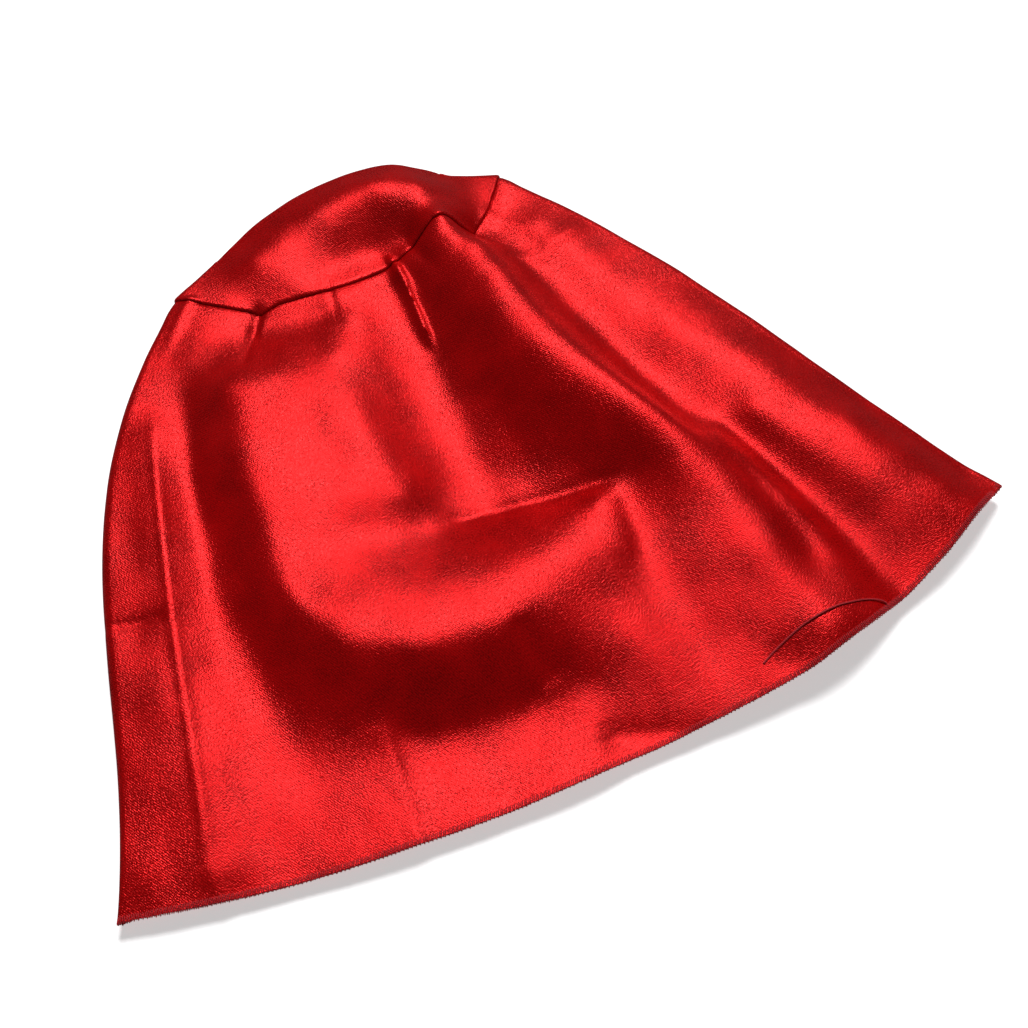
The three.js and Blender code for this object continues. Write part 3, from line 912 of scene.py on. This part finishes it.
class CAPE_OT_back_yoke(bpy.types.Operator):
    """Adds the two layers of the back yoke"""

    bl_idname = "cape.back_yoke"
    bl_label = "Back yoke"

    def execute(self, context):
        sizes = context.scene.cape_sizes
        rows = yoke_rows()
        surface = back_surface(rows, sizes.strip_height / MM)
        direction = normals(surface)
        stand = sizes.layer_gap / MM
        roll = edge_roll(rows, -1, 0, 1.1)[:, None, None]
        looks = finishes()
        pair = (looks["satin face"], looks["satin reverse"])
        outer_points = surface + direction * (stand * roll + CLOTH_HALF * 0.75)
        outer = cloth("back_yoke_outer", outer_points, sizes.cloth, pair)
        declare_cloth(outer, "yoke_back_outer", "back")
        inner_points = surface - direction * (stand * roll + CLOTH_HALF * 0.75)
        facing = cloth("back_yoke_facing", inner_points[:, ::-1], sizes.cloth, pair)
        declare_cloth(facing, "yoke_back_facing", "back")
        return {"FINISHED"}


FRONT_YOKE_STAND = 0.27  # each front yoke layer's distance from the middle of the two


class CAPE_OT_fronts(bpy.types.Operator):
    """Adds both fronts: skirt and yoke layers"""

    bl_idname = "cape.fronts"
    bl_label = "Fronts"

    def execute(self, context):
        sizes = context.scene.cape_sizes
        looks = finishes()
        pair = (looks["satin face"], looks["satin reverse"])
        rows = np.concatenate([np.linspace(CLOTH_EDGE, 0.02, 110), np.linspace(0, -ALLOWANCE, 6)])
        for side, word in ((-1, "left"), (1, "right")):
            body = f"{word}_front"
            points = np.array([front_row(side, v, FRONT_GAP + 0.8) for v in rows])
            skirt = cloth(f"front_skirt_{word}", points, sizes.cloth, pair, face_down=side < 0)
            declare_cloth(skirt, f"skirt_{word}_front", body)
            surface = np.array([front_row(side, v, FRONT_GAP) for v in yoke_rows()])
            roll = edge_roll(yoke_rows(), -1, 0, 0.8)[:, None]
            for layer, stand in (("outer", -FRONT_YOKE_STAND), ("facing", FRONT_YOKE_STAND)):
                layer_points = surface.copy()
                layer_points[..., 2] += stand * roll
                flip = (side < 0) == (layer == "outer")
                name = f"front_yoke_{layer}_{word}"
                yoke = cloth(name, layer_points, sizes.cloth * 0.8, pair, face_down=flip)
                declare_cloth(yoke, f"yoke_{word}_{layer}", body)
        return {"FINISHED"}


def hem_lines(make_rows, first, last):
    """Inner and outer line of an edge band, with its outward direction."""
    points = make_rows([last, (first + last) / 2, first])
    return points[2], points[0], normals(points)[1]


class CAPE_OT_overlocking(bpy.types.Operator):
    """Adds the overlock thread round the hems and the centre-front edges"""

    bl_idname = "cape.overlocking"
    bl_label = "Overlocking"

    def execute(self, context):
        sizes = context.scene.cape_sizes
        looks = finishes()["sewing thread"]
        thread = sizes.overlock_thread
        pitch = sizes.overlock_pitch / MM
        first, last = 1 - 0.1 / SKIRT_LENGTH, 1 + 1.25 / SKIRT_LENGTH
        strip = sizes.strip_height / MM
        inner, outer, up = hem_lines(lambda rows: back_surface(rows, strip), first, last)
        hem = overlock("back_hem_overlock", inner, outer, up, thread, pitch, looks)
        declare(hem, "hem_overlock_back", "back")
        for side, word in ((-1, "left"), (1, "right")):
            inner, outer, up = hem_lines(
                lambda rows: np.array([front_row(side, v, FRONT_GAP + 0.6) for v in rows]), first, last)
            hem = overlock(f"front_hem_overlock_{word}", inner, outer, up, thread, pitch, looks)
            declare(hem, f"hem_overlock_{word}", f"{word}_front")
            rows = np.linspace(0.01, 1.0, 120)
            inner, outer = (np.array([front_row(side, v, FRONT_GAP + width)[-1] for v in rows])
                            for width in (1.3, 0.0))
            up = np.tile([0.0, 0.0, 1.0], (len(rows), 1))
            edge = overlock(f"front_edge_overlock_{word}_thread", inner, outer, up, thread, pitch, looks)
            declare(edge, f"front_edge_overlock_{word}", f"{word}_front")
        return {"FINISHED"}


class CAPE_OT_seam_threads(bpy.types.Operator):
    """Adds the stitches of the yoke seam and of the neck seam, between the yoke's layers"""

    bl_idname = "cape.seam_threads"
    bl_label = "Seam threads"

    def execute(self, context):
        sizes = context.scene.cape_sizes
        looks = finishes()["sewing thread"]
        thread = sizes.sewing_thread
        length = sizes.stitch / MM
        strip = sizes.strip_height / MM
        runs = {"yoke": -0.05, "neck": -1 + 1.6 / YOKE_LENGTH}
        for seam, v in runs.items():
            points = back_surface([v + 0.01, v, v - 0.01], strip)
            run = stitch_run(f"back_{seam}_stitches", points[1], normals(points)[1], length, thread, looks)
            declare(run, f"{seam}_seam_thread_back", "back")
            for side, word in ((-1, "left"), (1, "right")):
                row = front_row(side, v, FRONT_GAP + 1.0)[1:]
                up = np.tile([0.0, 0.0, 1.0], (len(row), 1))
                run = stitch_run(f"front_{seam}_stitches_{word}", row, up, length, thread, looks)
                declare(run, f"{seam}_seam_thread_{word}", f"{word}_front")
        return {"FINISHED"}


TAPE_THICKNESS = 0.24
TAPE_MIDDLE = {"hook": 0.56, "loop": 1.46}  # height of each tape's middle
STITCH_FACES = {"hook": (0.38, 1.68), "loop": (0.5, 1.66)}  # heights that each patch's stitches lie at
TUFT_SPACING = {"hook": 0.95, "loop": 0.62}
TUFT_SIZE = {"hook": 0.15, "loop": 0.26}
TUFT_STRAY = {"hook": 0.06, "loop": 0.3}
TUFT_RISE = 0.42
TUFT_THREAD = 0.11 * MM
STITCHES_PER_SIDE = 5
STITCH_SHAPE = [(0, -0.12), (0.08, 0.0), (0.3, 0.05), (0.7, 0.05), (0.92, 0.0), (1, -0.12)]


def patch_base(name, centre, size, thickness, finish):
    """A square of closure tape with rounded corners and edges."""
    pick_none()
    bpy.ops.mesh.primitive_cube_add(size=1, location=centre * MM)
    base = bpy.context.object
    base.name = name
    base.scale = (size * MM, size * MM, thickness * MM)
    bpy.ops.object.transform_apply(location=True, rotation=True, scale=True)
    place = base.data.vertices
    upright = [edge.index for edge in base.data.edges
               if abs((place[edge.vertices[0]].co - place[edge.vertices[1]].co).z) > thickness * MM / 2]
    bpy.ops.object.mode_set(mode="EDIT")
    bpy.ops.mesh.select_mode(type="EDGE")
    bpy.ops.mesh.select_all(action="DESELECT")
    bpy.ops.object.mode_set(mode="OBJECT")
    for index in upright:
        base.data.edges[index].select = True
    bpy.ops.object.mode_set(mode="EDIT")
    bpy.ops.mesh.bevel(offset=1.2 * MM, segments=5)
    bpy.ops.object.mode_set(mode="OBJECT")
    apply_modifier(base, "BEVEL", width=0.07 * MM, segments=2, limit_method="ANGLE")
    base.data.materials.append(finish)
    return base


def chance(i, j, seed):
    """Three uneven numbers from -1 to 1 for one place in a grid, the same on each run."""
    return [noise.noise(Vector((i * 3.7, j * 5.3, seed + offset))) for offset in (0.0, 5.2, 11.4)]


def tuft(kind, foot, rise, size, turn):
    """Path of one hook or one loop of the closure tape, from its foot."""
    if kind == "hook":
        bend = np.linspace(math.pi, -0.35 * math.pi, 7)
        shape = [(0, 0)] + [(size * (1 + math.cos(a)), rise - size + size * math.sin(a)) for a in bend]
    else:
        bend = np.linspace(1.15 * math.pi, -0.15 * math.pi, 8)
        shape = [(size * math.cos(a), rise * 0.5 * (1 + math.sin(a))) for a in bend]
    return [foot + np.array([across * math.cos(turn), across * math.sin(turn), up]) for across, up in shape]


class CAPE_OT_closure(bpy.types.Operator):
    """Adds the hook patch and the loop patch on the yoke's ends, with their stitching"""

    bl_idname = "cape.closure"
    bl_label = "Closure"

    def execute(self, context):
        sizes = context.scene.cape_sizes
        looks = finishes()
        size = PATCH_HIGH.x - PATCH_LOW.x
        for side, kind, word in ((-1, "hook", "left"), (1, "loop", "right")):
            low, high = corners(f"{kind}_patch")
            centre = (low + high) / 2
            centre.z = TAPE_MIDDLE[kind]
            base = patch_base(f"{kind}_tape_base", centre, size, TAPE_THICKNESS, looks["closure tape"])
            tufts = self.tufts(centre, size, side, kind, looks["closure tape"])
            pick(*tufts)
            bpy.ops.object.convert(target="MESH")
            patch = joined(f"{kind}_tape", [base, *tufts])
            declare(patch, f"{kind}_patch", f"{word}_front")
            self.stitch_round(centre, size, kind, word, sizes.sewing_thread, looks["sewing thread"])
        return {"FINISHED"}

    def tufts(self, centre, size, side, kind, finish):
        """Hooks in even rows, or loops that stray: the left patch faces down, the right one up."""
        spacing = TUFT_SPACING[kind]
        stray = TUFT_STRAY[kind]
        steps = int((size - 1.8) / spacing / 2)
        threads = []
        for i in range(-steps, steps + 1):
            for j in range(-steps, steps + 1):
                first, second, third = chance(i, j, side * 2.1)
                foot_x = centre.x + i * spacing + first * stray
                foot_y = centre.y + j * spacing + second * stray
                turn = (0 if j % 2 else math.pi) if kind == "hook" else third * 7
                rise = TUFT_RISE + (0.1 * first if kind == "loop" else 0)
                path = tuft(kind, np.array([foot_x, foot_y, 0]), rise, TUFT_SIZE[kind], turn)
                for point in path:
                    point[2] = centre.z + side * (0.1 + point[2])
                thread = thread_line("tuft", path, TUFT_THREAD, finish)
                thread.data.bevel_resolution = 0
                threads.append(thread)
        return threads

    def stitch_round(self, centre, size, kind, word, thread, finish):
        """Stitches round a patch, on the patch and on the far side of the yoke."""
        half = size / 2 - 0.8
        middle = np.array([centre.x, centre.y])
        ring = []
        for face in STITCH_FACES[kind]:
            outward = 1 if face > centre.z else -1
            for corner in range(4):
                turn = corner * math.pi / 2
                ahead = np.array([-math.cos(turn), -math.sin(turn)])
                aside = np.array([-math.sin(turn), math.cos(turn)])
                start = (aside - ahead) * half
                for i in range(STITCHES_PER_SIDE):
                    a = start + ahead * (2 * half * (i + 0.1) / STITCHES_PER_SIDE)
                    b = start + ahead * (2 * half * (i + 0.9) / STITCHES_PER_SIDE)
                    path = [(*(middle + lerp(a, b, t)), face + outward * lift) for t, lift in STITCH_SHAPE]
                    ring.append(thread_line("stitch", path, thread, finish))
        pick(*ring)
        bpy.ops.object.convert(target="MESH")
        stitching = joined(f"{kind}_tape_stitches", ring)
        bpy.ops.object.shade_smooth()
        declare(stitching, f"{kind}_patch_stitching", f"{word}_front")


class CAPE_PT_panel(bpy.types.Panel):
    """Buttons that make the cape"""

    bl_idname = "CAPE_PT_panel"
    bl_label = "Cape"
    bl_space_type = "VIEW_3D"
    bl_region_type = "UI"
    bl_category = "Cape"

    def draw(self, context):
        for operator in OPERATORS:
            self.layout.operator(operator.bl_idname)
        for group in (context.scene.cape_sizes, context.scene.cape_colours):
            for name in group.bl_rna.properties.keys():
                if name not in ("rna_type", "name"):
                    self.layout.prop(group, name)


OPERATORS = (CAPE_OT_stage, CAPE_OT_loose_thread, CAPE_OT_back_skirt, CAPE_OT_back_yoke, CAPE_OT_fronts,
             CAPE_OT_overlocking, CAPE_OT_seam_threads, CAPE_OT_closure)
GROUPS = (CapeSizes, CapeColours)


def register():
    for kind in (*GROUPS, *OPERATORS, CAPE_PT_panel):
        bpy.utils.register_class(kind)
    bpy.types.Scene.cape_sizes = bpy.props.PointerProperty(type=CapeSizes)
    bpy.types.Scene.cape_colours = bpy.props.PointerProperty(type=CapeColours)


def unregister():
    del bpy.types.Scene.cape_colours
    del bpy.types.Scene.cape_sizes
    for kind in reversed((*GROUPS, *OPERATORS, CAPE_PT_panel)):
        bpy.utils.unregister_class(kind)


def main():
    register()
    bpy.ops.cape.stage()
    bpy.ops.cape.loose_thread()
    bpy.ops.cape.back_skirt()
    bpy.ops.cape.back_yoke()
    bpy.ops.cape.fronts()
    bpy.ops.cape.overlocking()
    bpy.ops.cape.seam_threads()
    bpy.ops.cape.closure()


if __name__ == "__main__":
    main()
